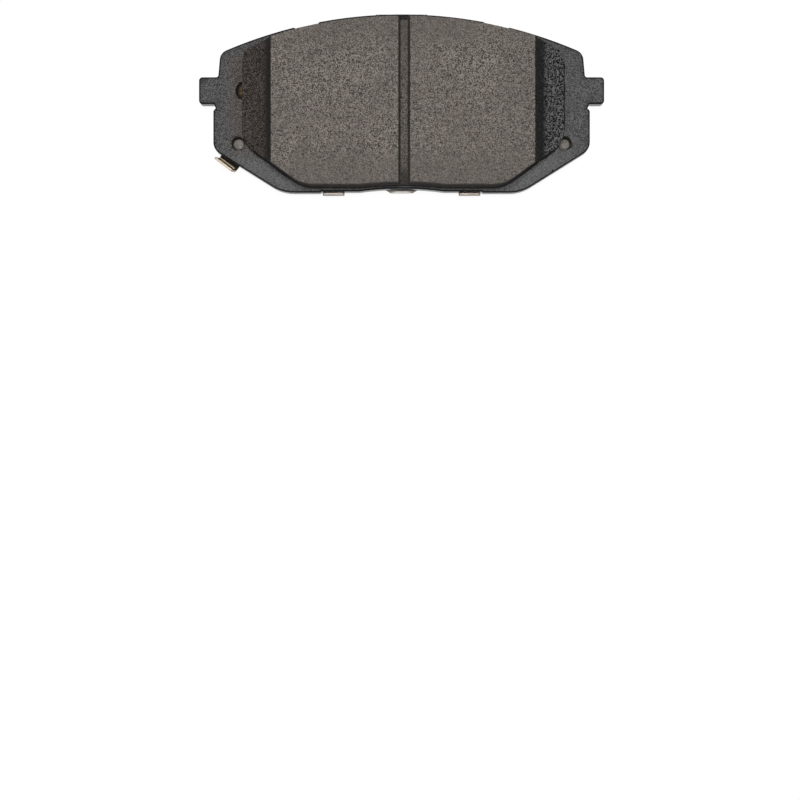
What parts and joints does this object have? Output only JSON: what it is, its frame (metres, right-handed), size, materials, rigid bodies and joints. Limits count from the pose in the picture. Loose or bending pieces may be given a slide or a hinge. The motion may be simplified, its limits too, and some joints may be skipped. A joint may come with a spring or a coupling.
{
  "type": "brake pad",
  "caption": "Inner disc brake pad: eared steel backing plate, slotted friction block with hollow-ground ends, clipped shims and a riveted wear indicator.",
  "frame": {"origin": "middle of the pressure face, the back of the outer shim, at mid length and mid height of the backing plate", "axes": "+X along the pad from ear to ear, +Y radially outwards from the wheel axle, +Z from the pressure face towards the disc"},
  "size_m": [0.15, 0.0674, 0.0185],
  "materials": {
    "black_paint": "black powder coat, satin, fine orange peel",
    "bond_layer": "dark brown moulded resin composite, matte",
    "friction": "ground friction composite with light and dark flecks, matte",
    "zinc_steel": "bare zinc-plated spring steel, satin",
    "shim_rubber": "black nitrile film, matte",
    "stainless": "cold-rolled stainless, fine rolled grain",
    "rivet_steel": "bare zinc-plated steel, satin",
    "yellow_zinc": "pale yellow passivated zinc, satin"
  },
  "bodies": {
    "root": {"backing_plate": "black_paint", "bond_layer": "bond_layer", "friction_block": "friction", "inner_shim": "zinc_steel", "shim_rubber_plate_side": "shim_rubber", "shim_rubber_piston_side": "shim_rubber", "outer_shim": "stainless", "indicator_rivet": "rivet_steel", "shim_rivet": "rivet_steel", "wear_indicator": "yellow_zinc"}
  },
  "joints": []
}
